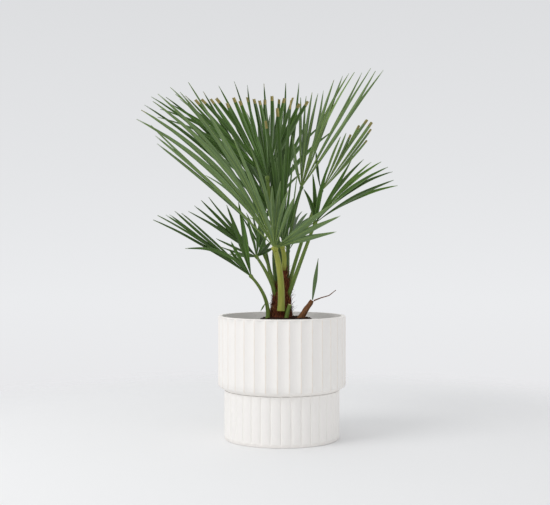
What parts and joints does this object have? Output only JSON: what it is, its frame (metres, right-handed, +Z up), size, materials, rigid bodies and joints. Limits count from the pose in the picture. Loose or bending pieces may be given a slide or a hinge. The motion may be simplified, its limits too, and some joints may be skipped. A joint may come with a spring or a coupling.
{
  "type": "potted european fan palm",
  "caption": "Young European fan palm with a short fibrous trunk and stiff fan fronds, standing in a white fluted two-tier ceramic pot filled with soil.",
  "frame": {"origin": "middle of the pot's flat underside, where it meets the floor", "axes": "+Z up along the pot's axis, -Y towards the front that the picture shows, +X to the picture's right"},
  "size_m": [0.5226, 0.5475, 0.7607],
  "materials": {
    "pot_ceramic": "matt white glaze over a fluted wall",
    "potting_soil": "coarse dark bark and peat",
    "fibrous_bark": "matted reddish brown leaf-base fibre",
    "green_stalk": "smooth waxy green stalk",
    "fan_leaf": "stiff ribbed leaf with a low sheen"
  },
  "bodies": {
    "root": {"pot": "pot_ceramic", "soil": "potting_soil", "trunk": "fibrous_bark", "petiole_centre": "green_stalk", "petiole_front": "green_stalk", "petiole_right_upper": "green_stalk", "petiole_right_lower": "green_stalk", "petiole_right_middle": "green_stalk", "petiole_left_lower": "green_stalk", "petiole_left_middle": "green_stalk", "petiole_heart": "green_stalk", "petiole_behind": "green_stalk", "petiole_left_small": "green_stalk", "petiole_back_upper": "green_stalk", "petiole_back_left": "green_stalk", "petiole_back_lower": "green_stalk", "fan_centre": "fan_leaf", "fan_front": "fan_leaf", "fan_right_upper": "fan_leaf", "fan_right_lower": "fan_leaf", "fan_right_middle": "fan_leaf", "fan_left_lower": "fan_leaf", "fan_left_middle": "fan_leaf", "fan_heart": "fan_leaf", "fan_behind": "fan_leaf", "fan_left_small": "fan_leaf", "fan_back_upper": "fan_leaf", "fan_back_left": "fan_leaf", "fan_back_lower": "fan_leaf", "cut_stalk": "green_stalk", "side_blade": "green_stalk", "sucker": "fibrous_bark", "sucker_twig": "fibrous_bark", "sucker_leaf": "fan_leaf"}
  },
  "joints": []
}
